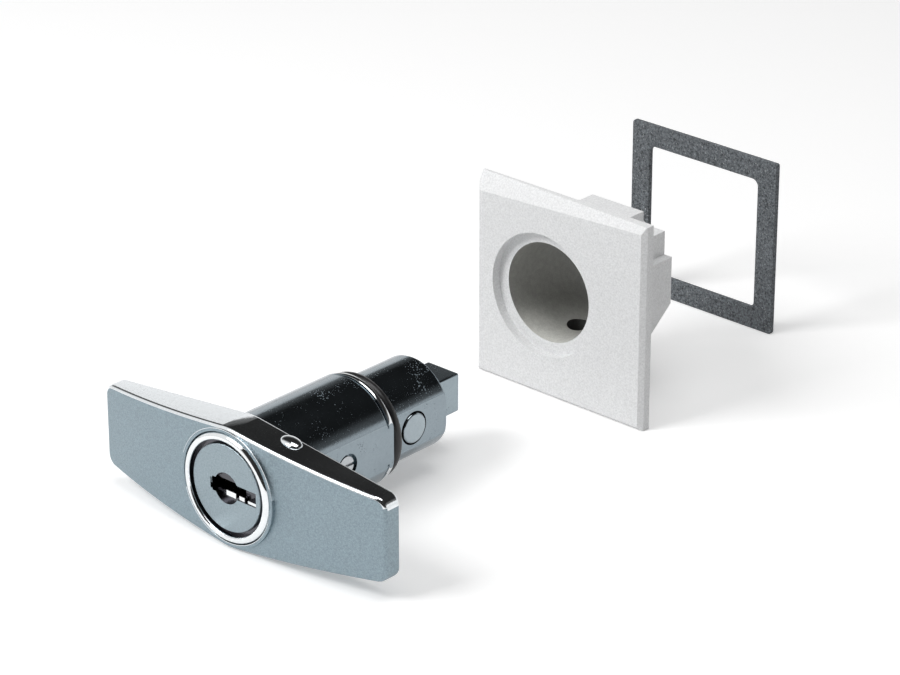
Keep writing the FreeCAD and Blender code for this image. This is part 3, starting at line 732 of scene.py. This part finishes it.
class LOCK_OT_plug(bpy.types.Operator):
    """Build the plug with its keyhole"""

    bl_idname = "lock.plug"
    bl_label = "Plug"

    def execute(self, context):
        head = PLUG_HEAD_RADIUS
        plug = turned("plug_face", [
            (head - 0.3, 0.0), (head - 0.13, 0.05), (head - 0.03, 0.16), (head, 0.32), (head, 1.4),
            (PLUG_RADIUS, 1.4), (PLUG_RADIUS, 24.4)])
        fuse(plug, box("tail", (-2.22, 23.4, -2.22), (2.22, 25.65, 2.22)))
        key_round = rod("key_round", "Y", KEY_HOLE_RADIUS, -1.0, 0.9, sides=64)
        cut(plug, key_round,
            box("key_face", (-3.6, -1.0, -1.45), (7.6, 1.1, 1.45)),
            box("key_slot", (-4.1, 0.0, -1.1), (4.1, 18.5, 1.1)))
        for k in range(WAFERS):
            y = WAFER_FIRST + WAFER_PITCH * k
            cut(plug, box("wafer_slot", (-8, y - 0.12, -WAFER_SLOT_HALF), (8, y + 1.12, WAFER_SLOT_HALF)))
        ribs = []
        for x0, x1, top in KEYWAY_RIBS:
            rib = box("rib", (x0, 0.18, -1.46), (x1, 1.12, top))
            soften(rib, 0.12, 2)
            ribs.append(rib)
        cut(plug, cut(rod("groove", "Y", 7.0, 23.6, 24.46), rod("keep", "Y", 5.0, 22.0, 26.0)))
        join(plug, *ribs)
        finish_piece(plug, "plug", "satin_steel", "face", "cylinder_plug", angle=28.0)
        # Painted shade: the inner faces of the keyhole are coloured near black; the fronts of the ribs are
        # polished
        plug.data.materials.append(FINISHES["keyway"]())
        plug.data.materials.append(FINISHES["polished"]())
        for face in plug.data.polygons:
            middle = face.center / MM
            if 0.02 < middle.y < 18.6 and math.hypot(middle.x, middle.z) < 7.9:
                face.material_index = 2 if face.normal.y < -0.3 and middle.y < 0.6 else 1
        return {"FINISHED"}


class LOCK_OT_barrel(bpy.types.Operator):
    """Build the barrel sleeve with its flats"""

    bl_idname = "lock.barrel"
    bl_label = "Barrel"

    def execute(self, context):
        start, step, end = BARREL_FRONT, PLAIN_END, NOSE_END
        outer, nose, groove = BARREL_RADIUS, NOSE_RADIUS, step + SEAL_GROOVE
        barrel = turned("barrel", [
            (outer - 0.3, start), (outer, start + 0.3), (outer, step - 2.0), (outer - 0.1, step - 1.8),
            (outer - 0.4, step - 1.7), (outer - 0.4, step - 1.3), (outer - 0.1, step - 1.2),
            (outer, step - 1.0), (outer, step - 0.6), (outer - 0.08, step - 0.3),
            (outer - 0.3, step - 0.08), (outer - 0.6, step), (SEAL_GROOVE_RADIUS, step),
            (SEAL_GROOVE_RADIUS, groove), (nose - 0.3, groove), (nose - 0.08, groove + 0.1),
            (nose, groove + 0.35), (nose, end - 0.75), (nose - 0.2, end - 0.3), (nose - 0.7, end)])
        tall = 16
        cut(barrel,
            rod("tube_bore", "Y", 9.28, start - 1, 33.05, sides=128),
            rod("spindle_bore", "Y", 4.58, 30.0, end + 1, sides=64),
            box("flat", (FLAT_X, start - 1, -tall), (tall, step + 0.01, tall)),
            box("nose_flat", (NOSE_FLAT_X, step, -tall), (tall, end + 1, tall)),
            rod("stop_recess", "X", STOP_RADIUS, FLAT_X - 1.0, 14, (0, STOP_Y, 0), 64),
            rod("stop_hole", "X", 1.22, 5, 14, (0, STOP_Y, 0), 32),
            rod("button_hole", "X", BUTTON_HOLE_RADIUS, 5.1, 14, (0, BUTTON_Y, 0), 96),
            pocket(-POCKET_DEPTH, 0, -BOLT_HALF, BOLT_HALF),
            pocket(-BOLT_HALF, BOLT_HALF, -POCKET_DEPTH, 0))
        soften(barrel, 0.12, 2, 40.0)
        finish_piece(barrel, "root", "dark_chrome", "barrel", "barrel_sleeve", angle=30.0)
        barrel.data.materials.append(FINISHES["polished"]())
        barrel.data.materials.append(FINISHES["keyway"]())
        for face in barrel.data.polygons:
            middle = face.center / MM
            if step - 1.25 < middle.y < step + 0.1 and math.hypot(middle.x, middle.z) > 10.4:
                face.material_index = 1
            # Painted shade: the wall of the button hole is coloured near black, a dark ring round the button
            off_axis = math.hypot(middle.y - BUTTON_Y, middle.z)
            if off_axis < BUTTON_HOLE_RADIUS + 0.07 and middle.x > 5 and abs(face.normal.x) < 0.5:
                face.material_index = 2
        return {"FINISHED"}


class LOCK_OT_seal(bpy.types.Operator):
    """Build the rubber seal ring in the groove of the barrel"""

    bl_idname = "lock.seal"
    bl_label = "Seal ring"

    def execute(self, context):
        seal = torus("seal_ring", 9.65, 1.1, PLAIN_END + SEAL_GROOVE / 2)
        finish_piece(seal, "root", "black_rubber", "rubber", "barrel_seal", angle=80.0)
        return {"FINISHED"}


class LOCK_OT_stop_screw(bpy.types.Operator):
    """Build the slotted stop screw in the flat of the barrel"""

    bl_idname = "lock.stop_screw"
    bl_label = "Stop screw"

    def execute(self, context):
        screw = rod("stop_screw_head", "X", 1.9, FLAT_X - 1.0, FLAT_X - 0.25, (0, STOP_Y, 0), 64)
        fuse(screw, rod("stop_tip", "X", 1.2, 8.4, FLAT_X - 0.9, (0, STOP_Y, 0), 48))
        cut(screw, box("slot", (FLAT_X - 0.7, STOP_Y - 3, -0.25), (FLAT_X + 1, STOP_Y + 3, 0.25)))
        soften(screw, 0.08, 2, 40.0)
        finish_piece(screw, "root", "screw_steel", "screw", "stop_screw")
        return {"FINISHED"}


def pocket(x0, x1, z0, z1):
    """Room for the locking bolt inside the wall of the barrel."""
    room = box("pocket", (x0, BOLT_START, z0), (x1, POCKET_END, z1))
    return combine(room, rod("limit", "Y", POCKET_LIMIT, 20, 34, sides=128), "INTERSECT")


def torus(name, major, minor, y):
    """A ring about the Y axis."""
    clear_selection()
    bpy.ops.mesh.primitive_torus_add(
        major_radius=major * MM, minor_radius=minor * MM, major_segments=144, minor_segments=28,
        location=(0, y * MM, 0), rotation=(QUARTER, 0, 0))
    return settle(name)


class LOCK_OT_button(bpy.types.Operator):
    """Build the snap button in the flat of the nose"""

    bl_idname = "lock.button"
    bl_label = "Snap button"

    def execute(self, context):
        button = rod("snap_button_cap", "X", BUTTON_RADIUS, 6.35, BUTTON_FACE_X, (0, BUTTON_Y, 0), 96)
        bevel_edges(button, lambda a, b: min(a.x, b.x) > BUTTON_FACE_X - 0.01, 0.45, 5)
        cut(button, rod("cup", "X", 2.2, 5.0, 7.85, (0, BUTTON_Y, 0), 64))
        finish_piece(button, "button", "button_steel", "button", "snap_button", angle=40.0)
        return {"FINISHED"}


class LOCK_OT_spring(bpy.types.Operator):
    """Build the folded strip spring"""

    bl_idname = "lock.spring"
    bl_label = "Button spring"

    def execute(self, context):
        low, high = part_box("button_spring")
        start, end = low.x / MM + SPRING_STRIP / 2, high.x / MM - SPRING_STRIP / 2
        rise = (end - start) / SPRING_FOLDS
        points = [(start, -SPRING_HALF)]
        points += [(start + k * rise, SPRING_HALF * (-1) ** k) for k in range(SPRING_FOLDS + 1)]
        points.append((end, -SPRING_HALF * (-1) ** SPRING_FOLDS))
        legs = [spring_leg(a, b) for a, b in zip(points, points[1:])]
        spring = fuse(*legs)
        spring.name = "spring_strip"
        finish_piece(spring, "root", "spring_steel", "spring", "button_spring")
        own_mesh(spring)
        return {"FINISHED"}


def spring_leg(start, end):
    """One straight leg of the folded strip spring, between two (x, y) points round the button's axis."""
    clear_selection()
    (x0, y0), (x1, y1) = start, end
    bpy.ops.mesh.primitive_cube_add(
        size=1, location=((x0 + x1) / 2 * MM, (BUTTON_Y + (y0 + y1) / 2) * MM, 0),
        rotation=(0, 0, math.atan2(y1 - y0, x1 - x0)),
        scale=((math.hypot(x1 - x0, y1 - y0) + 0.1) * MM, SPRING_STRIP * MM, SPRING_WIDTH * MM))
    return settle("spring_leg")


class LOCK_OT_spindle(bpy.types.Operator):
    """Build the drive spindle with its square end"""

    bl_idname = "lock.spindle"
    bl_label = "Spindle"

    def execute(self, context):
        start, end = SQUARE_Y
        square = box("spindle_square", (-SQUARE_HALF, start, -SQUARE_HALF), (SQUARE_HALF, end, SQUARE_HALF))
        soften(square, 0.42, 3, 40.0)
        fuse(square, rod("spindle", "Y", SPINDLE_RADIUS, 33.13, start + 0.15, sides=96),
             rod("spindle_neck", "Y", 3.9, 29.3, 33.2, sides=96))
        cut(square, rod("pin_bore", "X", CROSS_PIN_HOLE, -6, 6, (0, CROSS_PIN_Y, 0), 32),
            rod("lug_bore", "Z", 1.9, -6, 6, (0, LUG_Y, 0), 64))
        finish_piece(square, "handle", "square_steel", "square", "drive_spindle", angle=40.0)
        return {"FINISHED"}


class LOCK_OT_lug_pin(bpy.types.Operator):
    """Build the pin across the square end"""

    bl_idname = "lock.lug_pin"
    bl_label = "Lug pin"

    def execute(self, context):
        reach = SQUARE_HALF - 0.12
        pin = rod("lug_pin_end", "Z", 1.8, -reach, reach, (0, LUG_Y, 0), 64)
        soften(pin, 0.6, 5, 40.0)
        finish_piece(pin, "handle", "screw_steel", "polished", "lug_pin")
        return {"FINISHED"}


class LOCK_OT_bezel(bpy.types.Operator):
    """Build the square bezel housing"""

    bl_idname = "lock.bezel"
    bl_label = "Bezel housing"

    def execute(self, context):
        low, high = (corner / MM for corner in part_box("bezel_housing"))
        front = low.y
        half = (high.x - low.x) / 2
        cx, cz = (low.x + high.x) / 2, (low.z + high.z) / 2
        bore_x = cx - BORE_OFFSET
        shank_x = cx - SHANK_OFFSET
        inner = front + RECESS_DEPTH
        bezel = box("bezel", (cx - half, front, cz - half), (cx + half, front + FLANGE_THICK, cz + half))
        shape_flange(bezel, front, cx, cz, half)
        shank = box("shank", (shank_x - SHANK_HALF, inner, cz - SHANK_HALF),
                    (shank_x + SHANK_HALF, front + SHANK_DEPTH, cz + SHANK_HALF))
        bevel_edges(shank, lambda a, b: abs(a.y - b.y) > 1, 1.2, 6)
        fuse(bezel, shank, rod("body", "Y", 11.7, inner, front + TUBE_DEPTH, (bore_x, 0, cz), 144),
             stepped_block(shank_x, front, cz))
        cut(bezel,
            rod("recess", "Y", RECESS_RADIUS, front - 1, inner, (bore_x, 0, cz), 160),
            rod("bore", "Y", BORE_RADIUS, front - 1, front + 26, (bore_x, 0, cz), 160),
            rod("notch", "Y", 2.2, front + 18, front + 26, (bore_x + 9.9, 0, cz - 4), 48),
            rod("catch", "Z", CATCH_RADIUS, cz - 13.6, cz - 8, (bore_x, front + CATCH_DEPTH, 0), 64))
        soften(bezel, 0.22, 5, 28.0)
        finish_piece(bezel, "root", "white_plastic", "plastic", "bezel_housing", angle=20.0)
        # The wall of the bore gets painted shade and painted light
        bezel.data.materials.append(FINISHES["bore"]())
        bezel.data.materials.append(FINISHES["shade"]())
        points = [vertex.co / MM for vertex in bezel.data.vertices]
        for face in bezel.data.polygons:
            middle = face.center / MM
            reach = max(math.hypot(points[k].x - bore_x, points[k].z - cz) for k in face.vertices)
            # Painted shade: the faces of the catch hole are coloured near black
            if face_in_catch(middle, bore_x, front + CATCH_DEPTH, cz):
                face.material_index = 2
            elif middle.y > inner + 0.1 and reach < BORE_RADIUS + 0.05:
                face.material_index = 1
        return {"FINISHED"}


def face_in_catch(middle, x, y, z):
    """Whether a face lies in the catch hole at the bottom of the bore."""
    below = z - 13.8 < middle.z < z - BORE_RADIUS - 0.02
    return below and math.hypot(middle.x - x, middle.y - y) < CATCH_RADIUS + 0.05


def stepped_block(x, front, z):
    """The block behind the shank, stepped in twice at its upper corners and cut off at its lower ones."""
    half, beyond = SHANK_HALF, SHANK_HALF + 2
    block = box("stepped_block", (x - half, front + RECESS_DEPTH, z - half),
                (x + half, front + BLOCK_DEPTH, z + half))
    for side in (-1, 1):
        for width, height in BLOCK_STEPS:
            ends = sorted((x + side * width, x + side * beyond))
            cut(block, box("corner", (ends[0], front, z + height), (ends[1], front + 22, z + beyond)))
        bisect(block, (x + side * half, front, z - 3.6), (side * 10.4, 0, -6.0))
    return block


def shape_flange(bezel, front, cx, cz, half):
    """Slope the front of the flange: narrowly at the sides and below, and widely along the top."""
    for nx, nz in ((-1, 0), (1, 0), (0, -1)):
        edge = half - EDGE_SLOPE
        point = (cx + nx * edge, front + EDGE_SLOPE, cz + nz * edge)
        bisect(bezel, point, (nx, -1, nz))
    left = Vector((cx - half, front, cz + half - TOP_SLOPE_LEFT))
    right = Vector((cx + half, front, cz + half - TOP_SLOPE_RIGHT))
    back = Vector((cx - half, front + TOP_SLOPE_DEPTH, cz + half))
    bisect(bezel, left, (right - left).cross(back - left))


class LOCK_OT_gasket(bpy.types.Operator):
    """Build the flat foam gasket"""

    bl_idname = "lock.gasket"
    bl_label = "Gasket"

    def execute(self, context):
        low, high = (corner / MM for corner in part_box("gasket"))
        cx, cz = (low.x + high.x) / 2, (low.z + high.z) / 2
        pad = box("gasket_pad", low, high)
        bevel_edges(pad, lambda a, b: abs(a.y - b.y) > 1, 0.5, 3)
        window = box("window", (cx - WINDOW_HALF, low.y - 1, cz - WINDOW_HALF),
                     (cx + WINDOW_HALF, high.y + 1, cz + WINDOW_HALF))
        bevel_edges(window, lambda a, b: abs(a.y - b.y) > 1, 1.5, 8)
        cut(pad, window)
        soften(pad, 0.14, 2, 40.0)
        finish_piece(pad, "root", "grey_foam", "foam", "gasket", angle=40.0)
        return {"FINISHED"}


class LOCK_OT_inner(bpy.types.Operator):
    """Give the inner parts, which keep their CAD shape, their finishes"""

    bl_idname = "lock.inner"
    bl_label = "Inner parts"

    def execute(self, context):
        finishes = {"plug_clip": "spring", "bolt_cam": "zinc", "lock_bolt": "zinc",
                    "drive_pin": "screw", "cylinder_screw": "screw"}
        for k in range(WAFERS):
            finishes["wafer_%d" % (k + 1)] = "brass"
        for node, finish in finishes.items():
            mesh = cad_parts[node].data
            mesh.materials.clear()
            mesh.materials.append(FINISHES[finish]())
        return {"FINISHED"}


# Stage


def area_lamp(name, place, size, power):
    """A soft square lamp that looks at the lock."""
    data = bpy.data.lights.new(name, "AREA")
    data.shape = "SQUARE"
    data.size = size
    data.energy = power
    lamp = bpy.data.objects.new(name, data)
    bpy.context.scene.collection.objects.link(lamp)
    lamp.location = place
    lamp.rotation_euler = (Vector(LAMP_TARGET) - Vector(place)).to_track_quat("-Z", "Y").to_euler()


class LOCK_OT_stage(bpy.types.Operator):
    """Lay the floor, make the world and place the camera and the lamps"""

    bl_idname = "lock.stage"
    bl_label = "Stage"

    def execute(self, context):
        view = context.scene.lock_stage
        scene = context.scene
        scene.view_settings.view_transform = "Standard"
        lay_floor()
        make_world(scene)
        flat = math.cos(view.elevation)
        back = Vector((math.sin(view.azimuth) * flat, -math.cos(view.azimuth) * flat,
                       math.sin(view.elevation)))
        data = bpy.data.cameras.new("camera")
        data.sensor_width = 36.0
        data.lens = view.lens
        data.clip_start = 0.01
        camera = bpy.data.objects.new("camera", data)
        scene.collection.objects.link(camera)
        camera.location = Vector(CAMERA_TARGET) + back * view.distance
        camera.rotation_euler = (-back).to_track_quat("-Z", "Y").to_euler()
        scene.camera = camera
        for name, place, size, power in LAMPS:
            area_lamp(name, place, size, power)
        return {"FINISHED"}


def lay_floor():
    """A pale floor that shows white to the camera and keeps the shadow."""
    clear_selection()
    bpy.ops.mesh.primitive_plane_add(size=6.0, location=(0, 0, (FLOOR_Z - FLOOR_GAP) * MM))
    floor = bpy.context.object
    floor.name = "floor"
    material, tree, shader = new_material("Floor")
    shader.inputs["Base Color"].default_value = (0.86, 0.86, 0.86, 1.0)
    shader.inputs["Roughness"].default_value = 0.9
    path = linked(tree, "ShaderNodeLightPath")
    shader.inputs["Emission Color"].default_value = (1.0, 1.0, 1.0, 1.0)
    seen = linked(tree, "ShaderNodeMath", [
        (0, path.outputs["Is Camera Ray"]), (1, path.outputs["Is Glossy Ray"])], operation="MAXIMUM")
    lift = linked(tree, "ShaderNodeMath", [(0, seen.outputs[0]), (1, FLOOR_GLOW)], operation="MULTIPLY")
    tree.links.new(lift.outputs[0], shader.inputs["Emission Strength"])
    floor.data.materials.append(material)


def make_world(scene):
    """White to the camera, soft light on the object; metal mirrors a white backdrop under a dark room."""
    world = bpy.data.worlds.new("world")
    scene.world = world
    world.use_nodes = True
    tree = world.node_tree
    background = tree.nodes["Background"]
    background.inputs["Color"].default_value = (1.0, 1.0, 1.0, 1.0)
    path = linked(tree, "ShaderNodeLightPath")
    ray = linked(tree, "ShaderNodeTexCoord").outputs["Generated"]
    parts = linked(tree, "ShaderNodeSeparateXYZ", [(0, ray)])
    behind = linked(tree, "ShaderNodeFloatCurve", [("Value", parts.outputs["Z"])])
    points = behind.mapping.curves[0].points
    points[0].location, points[1].location = (0.0, 1.0), (1.0, 0.03)
    for height, level in BACKDROP_LEVELS:
        points.new(height, level)
    for point in points:
        point.handle_type = "VECTOR"
    behind.mapping.update()
    facing = linked(tree, "ShaderNodeVectorMath", [(0, ray), (1, DARK_SIDE)], operation="DOT_PRODUCT")
    room = linked(tree, "ShaderNodeMapRange", [
        ("Value", facing.outputs["Value"]), ("From Min", 0.52), ("From Max", 0.66),
        ("To Min", 0.95), ("To Max", 0.03)])
    turn = linked(tree, "ShaderNodeMapRange", [
        ("Value", parts.outputs["Y"]), ("From Min", 0.15), ("From Max", -0.15)])
    around = linked(tree, "ShaderNodeMix", [
        (0, turn.outputs["Result"]), (2, behind.outputs[0]), (3, room.outputs["Result"])], data_type="FLOAT")
    mirror = linked(tree, "ShaderNodeMix", [
        (0, path.outputs["Is Glossy Ray"]), (2, ROOM_LIGHT), (3, around.outputs[0])], data_type="FLOAT")
    level = linked(tree, "ShaderNodeMix", [
        (0, path.outputs["Is Camera Ray"]), (2, mirror.outputs[0]), (3, 1.0)], data_type="FLOAT")
    tree.links.new(level.outputs[0], background.inputs["Strength"])


class LOCK_PT_panel(bpy.types.Panel):
    """Lists the pieces in the sidebar"""

    bl_idname = "LOCK_PT_panel"
    bl_label = "Cabinet lock"
    bl_space_type = "VIEW_3D"
    bl_region_type = "UI"
    bl_category = "Lock"

    def draw(self, context):
        layout = self.layout
        for name in ("grip_length", "tip_half", "edge_round"):
            layout.prop(context.scene.lock_sizes, name)
        for name in ("grip_colour", "barrel_colour", "housing_colour", "gasket_colour"):
            layout.prop(context.scene.lock_colours, name)
        for name in ("azimuth", "elevation", "distance", "lens"):
            layout.prop(context.scene.lock_stage, name)
        for operator in OPERATORS:
            layout.operator(operator.bl_idname)


OPERATORS = (
    LOCK_OT_grip, LOCK_OT_rim, LOCK_OT_plug, LOCK_OT_barrel, LOCK_OT_seal, LOCK_OT_stop_screw,
    LOCK_OT_button, LOCK_OT_spring, LOCK_OT_spindle, LOCK_OT_lug_pin, LOCK_OT_bezel, LOCK_OT_gasket,
    LOCK_OT_inner, LOCK_OT_stage,
)
CLASSES = (LockSizes, LockColours, StageSettings) + OPERATORS + (LOCK_PT_panel,)


def register():
    """Register the classes and their settings."""
    for item in CLASSES:
        bpy.utils.register_class(item)
    bpy.types.Scene.lock_sizes = bpy.props.PointerProperty(type=LockSizes)
    bpy.types.Scene.lock_colours = bpy.props.PointerProperty(type=LockColours)
    bpy.types.Scene.lock_stage = bpy.props.PointerProperty(type=StageSettings)


def unregister():
    """Take the settings and the classes away again."""
    del bpy.types.Scene.lock_stage
    del bpy.types.Scene.lock_colours
    del bpy.types.Scene.lock_sizes
    for item in reversed(CLASSES):
        bpy.utils.unregister_class(item)


def main():
    """Build everything in order."""
    register()
    bpy.ops.lock.grip()
    bpy.ops.lock.rim()
    bpy.ops.lock.plug()
    bpy.ops.lock.barrel()
    bpy.ops.lock.seal()
    bpy.ops.lock.stop_screw()
    bpy.ops.lock.button()
    bpy.ops.lock.spring()
    bpy.ops.lock.spindle()
    bpy.ops.lock.lug_pin()
    bpy.ops.lock.bezel()
    bpy.ops.lock.gasket()
    bpy.ops.lock.inner()
    bpy.ops.lock.stage()


if __name__ == "__main__":
    main()
